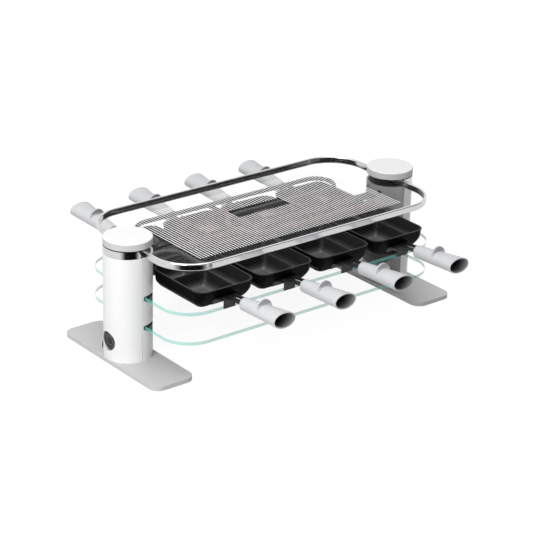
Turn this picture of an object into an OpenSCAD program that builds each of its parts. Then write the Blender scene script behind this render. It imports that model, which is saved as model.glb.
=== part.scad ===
// Table-top raclette grill: two round columns on foot plates carry a chrome band with a
// glass cooking plate, a heating element under it and two glass shelves for eight pans.
// +X runs along the grill to the column without a switch, +Y away from the front row of
// pans and +Z up. The origin is on the table, midway between the columns.

/* [Columns] */
// Distance from a column's axis to the outermost pan's place in its row
row_gap = 29; // [27.5:0.5:45]
// Outer diameter of a column
column_d = 68; // [62:1:74]
// Thickness of the white half shells
shell_wall = 3; // [2:0.5:4]
// Width of the joint line between the two half shells
seam_gap = 0.5; // [0.2:0.1:1]
// Wall of the black core tube inside the shells
core_wall = 5.5; // [4:0.5:7]
// Thickness of the cap disc
cap_h = 10; // [8:0.5:14]
// Rounding of the cap's upper edge
cap_r = 1.5; // [0.5:0.5:3]
// Dark gap between the chrome trim ring and the cap
cap_gap = 1.6; // [1:0.1:3]

/* [Foot plates] */
// Length of a foot plate, across the grill
plate_l = 224; // [200:1:250]
// Width of a foot plate
plate_w = 68; // [60:1:76]
// Thickness of a foot plate
plate_t = 6; // [5:0.5:8]
// Radius of a foot plate's corners
plate_r = 15.5; // [8:0.5:24]
// Diameter of a rubber pad under the plate
pad_d = 14; // [10:1:18]
// Thickness of a rubber pad
pad_t = 2; // [1.5:0.5:3]
// Height by which a pad stands out below the plate
pad_proud = 1; // [0.5:0.1:1.3]

/* [Band and cooking plate] */
// Distance from a column's axis in to the end of the chrome band
band_in = 1.5; // [0:0.5:6]
// Width of the chrome band over its outer faces
band_w = 235; // [220:1:250]
// Outer corner radius of the band
band_r = 58; // [45:1:70]
// Thickness of the flat bar that the band is bent from
band_t = 4; // [3:0.5:5]
// Height of the flat bar
band_h = 10; // [9:0.5:12]
// Height of the band's lower edge above the table
band_z = 160; // [150:1:175]
// Thickness of the cooking plate
glass_t = 4; // [3:0.5:5]

/* [Shelves] */
// Distance from a column's axis in to the end of a glass shelf
shelf_in = 4.5; // [3:0.5:9]
// Width of a glass shelf
shelf_w = 235; // [220:1:250]
// Corner radius of a glass shelf
shelf_r = 44; // [30:1:60]
// Thickness of a glass shelf
shelf_t = 5; // [4:0.5:6]
// Height of the storage shelf's underside
low_shelf_z = 54; // [48:1:62]
// Height of the pan shelf's underside
mid_shelf_z = 97; // [92:1:102]
// Depth of the wedge that is cut out of the inner shell below a shelf
notch_drop = 20; // [10:1:26]

/* [Pans] */
// Number of pans in a row
pans_in_row = 4; // [2:1:4]
// Distance between the centres of two neighbouring pans
pan_pitch = 103; // [92:0.5:112]
// Gap between the lips of two neighbouring pans
pan_gap = 7; // [3:0.5:14]
// Distance by which a pan's lip stands out past the edge of the pan shelf
pan_overhang = 1.5; // [0:0.5:4]
// Height of a pan
pan_h = 27; // [22:0.5:29]
// Distance by which a pan's wall leans outwards from bottom to rim
pan_lean = 10.5; // [6:0.5:12]
// Corner radius of a pan at its bottom
pan_foot_r = 3.5; // [3:0.5:14]
// Thickness of a pan's wall and bottom
pan_wall = 1.8; // [1.2:0.1:2.5]
// Width of the flat lip round a pan
lip_w = 2; // [1:0.5:3]
// Thickness of the lip
lip_t = 1.6; // [1:0.2:2.4]
// Depth from a pan's rim down to the ridges between its compartments
ridge_drop = 2; // [1:0.5:8]
// Width of a ridge at its top
ridge_w = 4; // [2:0.5:5]
// Distance from the middle of the grill to the nearer end of a pan
pan_inset = 4; // [3:0.5:16]

/* [Pan handles] */
// Distance of a handle's inner end from the edge of the pan shelf
handle_gap = 35.7; // [30:0.1:42]
// Height of the handle's axis above the pan shelf, at its inner end
handle_z = 14.4; // [12:0.1:18]
// Length of a handle along its axis
handle_l = 85; // [75:1:100]
// Diameter of a handle at its inner end
handle_near_d = 18.4; // [16:0.1:22]
// Height of a handle's open mouth
mouth_h = 21.8; // [18:0.1:26]
// Width of a handle's open mouth
mouth_w = 36.6; // [30:0.1:42]
// Wall of the hollow handle
handle_wall = 2; // [1.5:0.5:3]
// Upward tilt of a handle
handle_tilt = 5.4; // [0:0.1:9]
// Radius of the finger guard
guard_r = 12; // [10:0.5:14]
// Thickness of the finger guard
guard_t = 3; // [2:0.5:5]
// Height of the guard's top above the handle's axis
guard_top = 18; // [16:0.5:24]
// Distance of the guard from the handle's inner end
guard_along = 41; // [30:1:55]

/* [Heating element] */
// Diameter of the tubular element
element_d = 6.5; // [5:0.5:8]
// Height of the element's axis above the table
element_z = 150; // [146:0.5:153]
// Distance of the element's outer runs from the middle
outer_half_w = 90; // [80:1:98]
// Distance of the element's inner runs from the middle
inner_half_w = 40; // [34:1:46]

/* [Switch] */
// Height of the switch above the table
switch_z = 34.5; // [30:0.5:38]
// Diameter of the switch's bezel
bezel_d = 27; // [24:0.5:28]
// Diameter of the rocker
rocker_d = 20; // [17:0.5:21]
// Angle by which the rocker tips from one side to the other
rocker_swing = 12; // [8:1:16]

/* [Hidden] */
$fn = 96;
// Overrun of a cut past the face that it goes through
over = 1;
// Running clearance round pins and screws
pin_fit = 0.05;
// Clearance between parts that slide together by hand
fit = 0.4;

// Columns, and the lengths of what lies between them
column_spacing = pans_in_row * pan_pitch + 2 * row_gap;
column_x = column_spacing / 2;
column_r = column_d / 2;
column_z = pad_proud + plate_t;
core_r = column_r - shell_wall - fit;
bore_r = core_r - core_wall;
band_top = band_z + band_h;
cap_z = band_top + cap_gap;
core_top_t = 4;
band_l = column_spacing - 2 * band_in;
band_x = band_l / 2;
shelf_l = column_spacing - 2 * shelf_in;

// Screws: shank and head diameters, head heights
plate_screw_d = 4;
plate_screw_head_d = 7.5;
plate_screw_head_h = 3;
plate_screw_l = 16;
plate_screws = 3;
plate_screw_turn = 60;
band_screw_d = 3;
band_screw_head_d = 5;
band_screw_head_h = 1.8;
band_screw_l = 12;
band_screw_y = 15;
cap_screw_d = 4;
cap_screw_l = 21;
cap_screw_x = 13;
cap_screw_z = band_z - core_top_t;

// Element path: straight stubs out of the column, then arcs
stub_y = 13;
stub_l = 15;
stub_r = 17;
left_run_r = 25;
right_turn_r = (outer_half_w - inner_half_w) / 2;
right_turn_in = 85;
right_turn_x = column_x - right_turn_in;
inner_turn_x = -16;
element_end_in = 13;
element_end_x = column_x - element_end_in;

// Rail and crossbars that carry the element
rail_w = 16;
rail_t = 3;
bar_w = 9;
bar_t = 1.5;
bar_left_x = -27;
bar_right_in = 32;
bar_right_x = right_turn_x - bar_right_in;
bar_l = 2 * outer_half_w + element_d;
bar_z = element_z - element_d / 2 - bar_t;
rail_z = bar_z - rail_t;
rail_end_in = 16;
rail_end_x = column_x - rail_end_in;

// Pans: half size of the foot, slope of the walls, places of the ridges
shelf_top = mid_shelf_z + shelf_t;
pan_w = pan_pitch - pan_gap;
pan_l = shelf_w / 2 + pan_overhang - pan_inset;
pan_y = pan_inset + pan_l / 2;
pan_foot = [pan_w / 2 - lip_w - pan_lean, pan_l / 2 - lip_w - pan_lean];
pan_slope = pan_lean / pan_h;
lean_angle = atan(pan_slope);
ridge_x = 12;
ridge_y = 10;

// Bracket: seat on the pan's front wall, web, hook plate before the shelf, fork to the handle
sheet_t = 1.8;
seat_w = 40;
seat_z = 3;
web_z = 9.6;
web_w = 26;
hook_w = 18.5;
hook_drop = 2.5;
hook_gap = 2.5;
tongue_w = 9.4;
tongue_fit_l = 16;
prong_w = 2.6;
prong_h = 4;
prong_x = 10.3;
prong_rise = 1;
prong_gap = 9.7;

// Handle, measured in the pan's own frame
start_y = -(shelf_w / 2 + handle_gap - pan_y);
handle_near_r = handle_near_d / 2;
mouth_r = mouth_h / 2;
mouth_half = mouth_w / 2 - mouth_r;
neck_solid = 20;
end_round = 3;

// Switch
face_depth = 3.2;
bezel_depth = 5;
bezel_wall = 1.4;
lip_step = 0.8;
rocker_t = 5;
rocker_play = 0.5;
rocker_pin_d = 2;
rocker_pin_l = 1.2;
rocker_dish_r = 34;
rocker_dish = 0.8;
pivot_depth = 5.6;
body_d = 22;
body_l = 14;
body_gap = 1.6;
tab_w = 5;
tab_t = 0.8;
tab_l = 6;
tab_gap = 9;

// Wiring inside the column with the switch
wire_d = 2.4;
wire_x = 4;
block_l = 32;
block_w = 12;
block_h = 12;
bead_l = 5;
pin_d = 2.6;
pin_l = 9;
fuse_d = 6;
fuse_l = 18;
fuse_z = 118;
grommet_turn = 125;
grommet_z = 16;
grommet_d = 13;
grommet_bore = 7.5;
grommet_flange = 1.6;
grommet_step = 1.5;

side_nodes = ["foot_plate", "foot_pads", "outer_shell", "inner_shell", "column_core", "trim_ring", "cap"];
single_nodes = [
    "chrome_band", "cooking_plate", "pan_shelf", "storage_shelf",
    "heating_element", "element_terminals", "element_rail", "element_crossbars",
    "switch_bezel", "switch_rocker", "switch_body",
    "terminal_block", "inner_wires", "thermal_fuse", "cord_grommet",
    "plate_screws", "band_screws", "cap_screws"
];
pan_nodes = ["pan_dish", "pan_bracket", "pan_handle"];
pan_count = 2 * pans_in_row;

// General shapes

// Rounded rectangle with its centre at the origin
module rounded(l, w, r) {
    square([l - 2 * r, w], center = true);
    square([l, w - 2 * r], center = true);
    for (x = [-1, 1], y = [-1, 1])
        translate([x * (l / 2 - r), y * (w / 2 - r)]) circle(r);
}

// Block whose walls lean outwards by slope on the way up: half sizes and corner radius
// at its foot, which is on z = 0
module tapered(foot, r, slope, h) {
    straight = foot - [r, r];
    rise = slope * h;
    for (x = [-1, 1], y = [-1, 1])
        translate([x * straight[0], y * straight[1], 0]) cylinder(r1 = r, r2 = r + rise, h = h);
    rotate([90, 0, 0]) translate([0, 0, -straight[1]]) linear_extrude(2 * straight[1])
        leaning(foot[0], rise, h);
    rotate([90, 0, 90]) translate([0, 0, -straight[0]]) linear_extrude(2 * straight[0])
        leaning(foot[1], rise, h);
}

module leaning(half, rise, h) {
    polygon([[-half, 0], [half, 0], [half + rise, h], [-half - rise, h]]);
}

// Places children on the column at the left, and on the right one as its mirror image
module column(side) {
    if (side == "left") translate([-column_x, 0, 0]) children();
    else translate([column_x, 0, 0]) mirror([1, 0, 0]) children();
}

// Half of a tube with its opening at the seam; inner = true gives the half towards the middle
module half_tube(inner, h) {
    linear_extrude(h) intersection() {
        difference() {
            circle(column_r);
            circle(column_r - shell_wall);
        }
        translate([inner ? seam_gap / 2 : -column_r - over, -column_r - over])
            square([column_r + over - seam_gap / 2 + (inner ? over : 0), 2 * (column_r + over)]);
    }
}

// Columns, in a frame with the column's axis at the origin and the middle of the grill at +X

module foot_plate() {
    color("lightgray") difference() {
        translate([0, 0, pad_proud]) linear_extrude(plate_t) rounded(plate_w, plate_l, plate_r);
        at_pads() cylinder(d = pad_d, h = pad_t);
        at_plate_screws() {
            translate([0, 0, -over]) cylinder(d = plate_screw_d + 2 * pin_fit, h = column_z + 2 * over);
            translate([0, 0, -over])
                cylinder(d = plate_screw_head_d + 2 * fit, h = pad_proud + plate_screw_head_h + over + fit);
        }
    }
}

module at_pads() {
    for (x = [-1, 1], y = [-1, 1])
        translate([x * (plate_w / 2 - plate_r), y * (plate_l / 2 - plate_r), 0]) children();
}

module foot_pads() {
    color("dimgray") at_pads() cylinder(d = pad_d, h = pad_t);
}

module at_plate_screws() {
    for (i = [0:plate_screws - 1])
        rotate(plate_screw_turn + i * 360 / plate_screws)
            translate([bore_r + core_wall / 2, 0, 0]) children();
}

module outer_shell(has_switch) {
    color("white") difference() {
        translate([0, 0, column_z]) half_tube(false, band_z - fit - column_z);
        if (has_switch) {
            translate([-column_r - over, 0, switch_z]) rotate([0, 90, 0])
                cylinder(d = bezel_d + 2 * fit, h = shell_wall + core_wall + 2 * over);
            at_grommet() cylinder(d = grommet_d, h = column_d);
        }
    }
}

// Wedge cut below each shelf, with its point at the seam
module shelf_notch(z) {
    slot_h = shelf_t + fit;
    drop_x = column_r + over;
    near = (column_x - shelf_l / 2) / 2;
    rotate([90, 0, 0]) translate([0, 0, -column_r - over]) linear_extrude(2 * (column_r + over))
        polygon([[near, z], [near, z + slot_h], [drop_x, z + slot_h], [drop_x, z - notch_drop]]);
}

// Wedges of the core that fill the notches below the shelves, just inside the shell's surface
module shelf_seats() {
    intersection() {
        union() {
            shelf_notch(low_shelf_z);
            shelf_notch(mid_shelf_z);
        }
        cylinder(r = column_r - fit, h = band_z);
    }
}

module inner_shell() {
    color("white") difference() {
        translate([0, 0, column_z]) half_tube(true, band_z - column_z);
        shelf_notch(low_shelf_z);
        shelf_notch(mid_shelf_z);
        rail_slot();
        stub_holes();
    }
}

// Slot for the end of the element's rail
module rail_slot() {
    translate([0, -rail_w / 2 - pin_fit, rail_z - pin_fit])
        cube([column_r + over, rail_w + 2 * pin_fit, rail_t + 2 * pin_fit]);
}

// Holes for the two ends of the element
module stub_holes() {
    for (y = [-1, 1])
        translate([0, y * stub_y, element_z]) rotate([0, 90, 0])
            cylinder(d = element_d + fit, h = column_r + over);
}

module column_core(has_switch) {
    slot_x = column_x - shelf_l / 2 - fit;
    block_x = column_x - band_x;
    color([0.12, 0.12, 0.13]) difference() {
        union() {
            translate([0, 0, column_z]) cylinder(r = core_r, h = cap_z - column_z);
            shelf_seats();
        }
        translate([0, 0, column_z - over]) cylinder(r = bore_r, h = band_z - core_top_t - column_z + over);
        translate([block_x, -column_r, band_z]) cube([column_d, column_d, cap_z]);
        for (z = [low_shelf_z, mid_shelf_z])
            translate([slot_x, -column_r, z]) cube([column_d, column_d, shelf_t + fit]);
        rail_slot();
        stub_holes();
        at_plate_screws() translate([0, 0, column_z - over])
            cylinder(d = plate_screw_d + 2 * pin_fit, h = plate_screw_l + over);
        at_band_screws() translate([0, 0, -band_screw_l])
            cylinder(d = band_screw_d + 2 * pin_fit, h = band_screw_l);
        translate([-cap_screw_x, 0, column_z]) cylinder(d = cap_screw_d + 2 * pin_fit, h = cap_z);
        if (has_switch) {
            translate([-column_r, 0, switch_z]) rotate([0, 90, 0])
                cylinder(d = bezel_d + 2 * pin_fit, h = column_r);
            at_grommet() translate([0, 0, -over]) cylinder(d = grommet_d - 2 * grommet_step, h = column_r);
        }
    }
}

// Half ring that carries the band's line round the outside of the column
module trim_ring() {
    color("silver") translate([0, 0, band_z]) linear_extrude(band_h) difference() {
        circle(column_r);
        circle(column_r - shell_wall);
        translate([column_x - band_x - pin_fit, -column_d]) square(2 * column_d);
    }
}

module cap() {
    color("white") difference() {
        translate([0, 0, cap_z]) rotate_extrude() {
            square([column_r - cap_r, cap_h]);
            square([column_r, cap_h - cap_r]);
            translate([column_r - cap_r, cap_h - cap_r]) circle(cap_r);
        }
        translate([-cap_screw_x, 0, cap_z - over])
            cylinder(d = cap_screw_d + 2 * pin_fit, h = cap_screw_z + cap_screw_l + fit - cap_z + over);
    }
}

// Screws

module screw(d, l, head_d, head_h) {
    cylinder(d = d, h = l);
    translate([0, 0, -head_h]) cylinder(d = head_d, h = head_h);
}

module plate_screws() {
    color("silver") for (side = ["left", "right"])
        column(side) at_plate_screws() translate([0, 0, pad_proud + plate_screw_head_h])
            screw(plate_screw_d, plate_screw_l, plate_screw_head_d, plate_screw_head_h);
}

// Frame with +Z away from the band's inner face, towards the middle of the grill
module at_band_screws() {
    for (y = [-1, 1])
        translate([column_x - band_x, y * band_screw_y, band_top - band_screw_head_d / 2 - pin_fit])
            rotate([0, 90, 0]) children();
}

module band_screws() {
    color("silver") for (side = ["left", "right"])
        column(side) at_band_screws() translate([0, 0, band_t]) mirror([0, 0, 1])
            screw(band_screw_d, band_screw_l, band_screw_head_d, band_screw_head_h);
}

module cap_screws() {
    color("silver") for (side = ["left", "right"])
        column(side) translate([-cap_screw_x, 0, cap_screw_z])
            screw(cap_screw_d, cap_screw_l, plate_screw_head_d, plate_screw_head_h);
}

// Band, cooking plate and shelves

module chrome_band() {
    color("silver") difference() {
        translate([0, 0, band_z]) linear_extrude(band_h) difference() {
            rounded(band_l, band_w, band_r);
            rounded(band_l - 2 * band_t, band_w - 2 * band_t, band_r - band_t);
        }
        for (side = ["left", "right"])
            column(side) at_band_screws() translate([0, 0, -over])
                cylinder(d = band_screw_d + 2 * pin_fit, h = band_t + 2 * over);
    }
}

module cooking_plate() {
    inset = 2 * (band_t + fit);
    color([0.85, 0.92, 0.9, 0.5]) translate([0, 0, band_z]) linear_extrude(glass_t)
        rounded(band_l - inset, band_w - inset, band_r - inset / 2);
}

module shelf(z) {
    color([0.7, 0.86, 0.82, 0.5]) translate([0, 0, z]) linear_extrude(shelf_t)
        rounded(shelf_l, shelf_w, shelf_r);
}

// Heating element

module run(from, to) {
    d = to - from;
    translate([from[0], from[1], element_z]) rotate([0, 90, atan2(d[1], d[0])])
        cylinder(d = element_d, h = norm(d));
}

module bend(centre, r, from, turn) {
    translate([centre[0], centre[1], element_z]) rotate(from)
        rotate_extrude(angle = turn) translate([r, 0]) circle(d = element_d);
}

module heating_element() {
    stub_end = -column_x + column_r + stub_l;
    run_x = stub_end + stub_r;
    color("dimgray") {
        for (s = [-1, 1]) mirror([0, s < 0 ? 1 : 0, 0]) {
            run([-element_end_x, stub_y], [stub_end, stub_y]);
            bend([stub_end, stub_y + stub_r], stub_r, -90, 90);
            run([run_x, stub_y + stub_r], [run_x, outer_half_w - left_run_r]);
            bend([run_x + left_run_r, outer_half_w - left_run_r], left_run_r, 90, 90);
            run([run_x + left_run_r, outer_half_w], [right_turn_x, outer_half_w]);
            bend([right_turn_x, outer_half_w - right_turn_r], right_turn_r, -90, 180);
            run([right_turn_x, inner_half_w], [inner_turn_x, inner_half_w]);
        }
        bend([inner_turn_x, 0], inner_half_w, 90, 180);
    }
}

module element_terminals() {
    color("gainsboro") for (y = [-1, 1])
        translate([-element_end_x, y * stub_y, element_z]) rotate([0, -90, 0]) {
            cylinder(d = element_d - fit, h = bead_l);
            cylinder(d = pin_d, h = bead_l + pin_l);
        }
}

module element_rail() {
    color("gray") translate([-rail_end_x, -rail_w / 2, rail_z]) cube([2 * rail_end_x, rail_w, rail_t]);
}

module element_crossbars() {
    color("gray") for (x = [bar_left_x, bar_right_x])
        translate([x - bar_w / 2, -bar_l / 2, bar_z]) cube([bar_w, bar_l, bar_t]);
}

// Switch, in a frame with the column's axis at the origin and +Z out of the switch's face

module at_switch() {
    translate([-column_x, 0, switch_z]) rotate([0, -90, 0]) children();
}

module switch_bezel() {
    face = column_r - face_depth;
    color([0.1, 0.1, 0.1]) at_switch() difference() {
        translate([0, 0, face - bezel_depth]) cylinder(d = bezel_d, h = bezel_depth);
        translate([0, 0, face - bezel_depth - over])
            cylinder(d = rocker_d + 2 * rocker_play, h = bezel_depth + 2 * over);
        translate([0, 0, face - lip_step])
            cylinder(d = bezel_d - 2 * bezel_wall, h = lip_step + over);
        translate([0, 0, column_r - pivot_depth]) rotate([90, 0, 0])
            cylinder(d = rocker_pin_d + 2 * pin_fit, h = rocker_d + 4 * rocker_pin_l, center = true);
    }
}

// The rocker rests tipped to the side marked off
module switch_rocker() {
    front = rocker_t - (pivot_depth - face_depth);
    color([0.13, 0.13, 0.13]) at_switch() translate([0, 0, column_r - pivot_depth])
        rotate([0, -rocker_swing / 2, 0]) {
            difference() {
                translate([0, 0, -front / 2]) cylinder(d = rocker_d, h = rocker_t - front / 2);
                translate([0, 0, rocker_t - front - rocker_dish + rocker_dish_r]) rotate([90, 0, 0])
                    cylinder(r = rocker_dish_r, h = rocker_d + 2 * over, center = true);
            }
            rotate([90, 0, 0])
                cylinder(d = rocker_pin_d, h = rocker_d + 2 * (rocker_play + rocker_pin_l), center = true);
        }
}

module switch_body() {
    back = column_r - face_depth - bezel_depth - body_gap;
    color([0.1, 0.1, 0.1]) at_switch() {
        translate([0, 0, back]) difference() {
            cylinder(d = bezel_d, h = body_gap);
            translate([0, 0, -over]) cylinder(d = rocker_d + 2 * rocker_play, h = body_gap + 2 * over);
        }
        translate([0, 0, back - body_l]) cylinder(d = body_d, h = body_l);
        for (x = [-1, 1])
            translate([x * tab_gap / 2 - tab_t / 2, -tab_w / 2, back - body_l - tab_l])
                cube([tab_t, tab_w, tab_l]);
    }
}

// Wiring

module terminal_block() {
    color("ivory") translate([-column_x - wire_x - block_w / 2, -block_l / 2, column_z])
        cube([block_w, block_l, block_h]);
}

module inner_wires() {
    low = column_z + block_h;
    color("firebrick") for (y = [-1, 1]) {
        translate([-column_x - wire_x, y * stub_y, low])
            cylinder(d = wire_d, h = element_z - low + wire_d / 2);
        translate([-column_x - wire_x, y * stub_y, element_z]) rotate([0, 90, 0])
            cylinder(d = wire_d, h = column_x + wire_x - element_end_x - bead_l - pin_l);
    }
}

module thermal_fuse() {
    color("tan") translate([-column_x - wire_x, -stub_y, fuse_z]) difference() {
        cylinder(d = fuse_d, h = fuse_l);
        translate([0, 0, -over]) cylinder(d = wire_d + 2 * pin_fit, h = fuse_l + 2 * over);
    }
}

// Frame with +Z outwards along the cord's way out
module at_grommet() {
    translate([0, 0, grommet_z]) rotate([0, 0, grommet_turn]) rotate([0, 90, 0]) children();
}

module cord_grommet() {
    color([0.1, 0.1, 0.1]) translate([-column_x, 0, 0]) at_grommet() difference() {
        union() {
            translate([0, 0, bore_r - grommet_flange])
                cylinder(d = grommet_d - 2 * grommet_step, h = column_r - bore_r + 2 * grommet_flange);
            translate([0, 0, core_r + fit]) cylinder(d = grommet_d, h = column_r + grommet_flange - core_r - fit);
        }
        cylinder(d = grommet_bore, h = column_d);
    }
}

// Pans, in a frame with the pan's centre at the origin, its foot on z = 0 and its handle to -Y

// Compartment: x and y ranges of its mouth at the ridges' height
// Ridge between two compartments, along Y, whose sides lean as the pan's walls do
module ridge(from, to) {
    ridge_z = pan_h - ridge_drop;
    rotate([90, 0, 0]) translate([0, 0, -to]) linear_extrude(to - from)
        leaning(ridge_w / 2 + pan_slope * (ridge_z - pan_wall / 2), -pan_slope * (ridge_z - pan_wall / 2),
            ridge_z - pan_wall / 2);
}

module pan_dish() {
    cavity = pan_foot - (1 - pan_slope) * pan_wall * [1, 1];
    in_pan = (pan_foot + cavity) / 2;
    color([0.15, 0.15, 0.16]) {
        difference() {
            union() {
                tapered(pan_foot, pan_foot_r, pan_slope, pan_h);
                translate([0, 0, pan_h - lip_t]) linear_extrude(lip_t)
                    rounded(pan_w, pan_l, pan_foot_r + pan_lean + lip_w);
            }
            translate([0, 0, pan_wall])
                tapered(cavity, pan_foot_r - (1 - pan_slope) * pan_wall, pan_slope, pan_h);
        }
        // Ridges, kept inside the outer form
        intersection() {
            tapered(in_pan, pan_foot_r, pan_slope, pan_h);
            translate([0, 0, pan_wall / 2]) {
                translate([ridge_x, 0, 0]) ridge(-pan_l / 2, pan_l / 2);
                translate([0, ridge_y, 0]) rotate([0, 0, 90]) ridge(-ridge_x, pan_w / 2);
            }
        }
    }
}

// Frame with its origin at the handle's inner end and +Z along the handle
module at_handle() {
    translate([0, start_y, handle_z]) rotate([90 - handle_tilt, 0, 0]) children();
}

module pan_bracket() {
    wall_y = -pan_foot[1] - pan_slope * web_z;
    hook_y = -(shelf_w / 2 + hook_gap - pan_y);
    fork_l = hook_y - start_y;
    web_back = seat_w / 2 - sheet_t;
    color([0.14, 0.14, 0.15]) {
        // Seat on the leaning front wall
        translate([0, -pan_foot[1], 0]) rotate([lean_angle, 0, 0])
            translate([-seat_w / 2, -sheet_t, seat_z]) cube([seat_w, sheet_t, web_z + sheet_t - seat_z]);
        // Web that narrows to the fork
        translate([0, 0, web_z]) linear_extrude(sheet_t) polygon([
            [-web_back, wall_y - sheet_t / 2], [web_back, wall_y - sheet_t / 2],
            [web_back, wall_y - 2 * sheet_t], [web_w / 2, hook_y - sheet_t],
            [-web_w / 2, hook_y - sheet_t], [-web_back, wall_y - 2 * sheet_t]
        ]);
        // Hook plate before the shelf's edge
        translate([-hook_w / 2, hook_y - sheet_t, -hook_drop])
            cube([hook_w, sheet_t, hook_drop + web_z + sheet_t]);
        at_handle() {
            // Tongue that the handle is pushed on
            translate([-tongue_w / 2, -sheet_t / 2, -fork_l]) cube([tongue_w, sheet_t, fork_l + tongue_fit_l]);
            // Prongs on both sides of the tongue
            for (x = [-1, 1])
                translate([x * prong_x - prong_w / 2, prong_rise - prong_h / 2, -fork_l - sheet_t])
                    cube([prong_w, prong_h, fork_l + sheet_t - prong_gap]);
        }
    }
}

// Cone that widens from a circle at z = 0 to the oval mouth at z = handle_l and on, its
// surface moved inwards by wall
module handle_body(wall) {
    near_r = handle_near_r - wall;
    reach = handle_l + mouth_r;
    growth = (mouth_r - handle_near_r) / handle_l;
    spread = mouth_half / handle_l;
    angle = atan(spread);
    for (side = [-1, 1]) rotate([0, side * angle, 0])
        cylinder(r1 = near_r, r2 = near_r + growth * reach, h = reach / cos(angle));
    intersection() {
        rotate([90, 0, 0]) linear_extrude(mouth_w, center = true)
            polygon([[0, 0], [spread * reach, reach], [-spread * reach, reach]]);
        rotate([0, -90, 0]) linear_extrude(mouth_w, center = true) polygon([
            [0, near_r], [reach, near_r + growth * reach], [reach, -near_r - growth * reach], [0, -near_r]
        ]);
    }
}

module pan_handle() {
    color("whitesmoke") at_handle() difference() {
        intersection() {
            union() {
                handle_body(0);
                translate([0, guard_top - guard_r, guard_along]) cylinder(r = guard_r, h = guard_t);
            }
            rotate_extrude() polygon([
                [0, 0], [handle_near_r - end_round, 0], [handle_near_r, end_round],
                [mouth_w, mouth_w], [mouth_w, handle_l], [0, handle_l]
            ]);
        }
        intersection() {
            handle_body(handle_wall);
            translate([0, 0, neck_solid]) cylinder(r = mouth_w, h = handle_l);
        }
        translate([-tongue_w / 2, -sheet_t / 2, -over]) cube([tongue_w, sheet_t, tongue_fit_l + over]);
    }
}

// Places children at pan i; the second row is the first, turned half a turn
module at_pan(i) {
    row = i > pans_in_row ? 180 : 0;
    place = (i - 1) % pans_in_row - (pans_in_row - 1) / 2;
    rotate(row) translate([place * pan_pitch * (row == 0 ? 1 : -1), -pan_y, shelf_top]) children();
}

for (side = ["left", "right"]) column(side) {
    has_switch = side == "left";
    foot_plate();
    foot_pads();
    outer_shell(has_switch);
    inner_shell();
    column_core(has_switch);
    trim_ring();
    cap();
}
chrome_band();
cooking_plate();
shelf(mid_shelf_z);  // pan_shelf
shelf(low_shelf_z);  // storage_shelf
heating_element();
element_terminals();
element_rail();
element_crossbars();
switch_bezel();
switch_rocker();
switch_body();
terminal_block();
inner_wires();
thermal_fuse();
cord_grommet();
plate_screws();
band_screws();
cap_screws();
for (i = [1:pan_count]) at_pan(i) {
    pan_dish();
    pan_bracket();
    pan_handle();
}
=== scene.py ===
import math

import bpy
from mathutils import Matrix, Vector


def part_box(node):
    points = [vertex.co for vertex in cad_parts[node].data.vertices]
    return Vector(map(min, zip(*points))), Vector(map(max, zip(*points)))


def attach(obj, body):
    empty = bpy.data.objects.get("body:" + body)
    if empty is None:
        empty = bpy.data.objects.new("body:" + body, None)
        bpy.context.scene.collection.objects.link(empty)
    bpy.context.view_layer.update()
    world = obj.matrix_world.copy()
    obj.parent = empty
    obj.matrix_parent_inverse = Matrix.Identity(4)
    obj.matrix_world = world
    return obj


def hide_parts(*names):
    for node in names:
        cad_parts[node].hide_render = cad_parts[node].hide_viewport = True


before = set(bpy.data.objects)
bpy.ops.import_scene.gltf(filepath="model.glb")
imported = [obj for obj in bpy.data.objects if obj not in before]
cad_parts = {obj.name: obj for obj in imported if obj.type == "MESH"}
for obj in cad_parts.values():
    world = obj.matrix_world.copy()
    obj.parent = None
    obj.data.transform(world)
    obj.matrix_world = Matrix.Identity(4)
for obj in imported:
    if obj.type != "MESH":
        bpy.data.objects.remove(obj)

bl_info = {
    "name": "Raclette Grill",
    "version": (1, 0, 0),
    "blender": (4, 5, 0),
    "location": "View3D > Sidebar > Raclette Grill",
    "description": "Dresses a raclette grill: glass, print, pans, handles, columns and light",
    "category": "Object",
}

MM = 0.001
GRILL = "grill_frame"
PAN_COUNT = sum(name.startswith("pan_dish_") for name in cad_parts)
SIDES = ("left", "right")

# Kinds of node that are used often
BUMP = "ShaderNodeBump"
COORDINATES = "ShaderNodeTexCoord"
JOIN = "ShaderNodeCombineXYZ"
MAPPING = "ShaderNodeMapping"
MATHS = "ShaderNodeMath"
MIX = "ShaderNodeMix"
RANGE = "ShaderNodeMapRange"
SPLIT = "ShaderNodeSeparateXYZ"

# Range that most values of a noise texture lie in
NOISE_SPAN = (0.3, 0.7)


# Values shared by the pieces

def linear(code):
    """Turns an sRGB hex colour into the linear red, green and blue that Blender works in."""
    parts = [int(code[i:i + 2], 16) / 255 for i in (0, 2, 4)]
    return tuple(p / 12.92 if p <= 0.04045 else ((p + 0.055) / 1.055) ** 2.4 for p in parts)


def colour(name, description, code):
    """A colour that a user can change."""
    return bpy.props.FloatVectorProperty(name=name, description=description, default=linear(code),
                                         subtype="COLOR", size=3, min=0, max=1)


def length(name, description, millimetres):
    """A length that a user can change."""
    return bpy.props.FloatProperty(name=name, description=description, default=millimetres * MM,
                                   subtype="DISTANCE", unit="LENGTH", precision=5)


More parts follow.
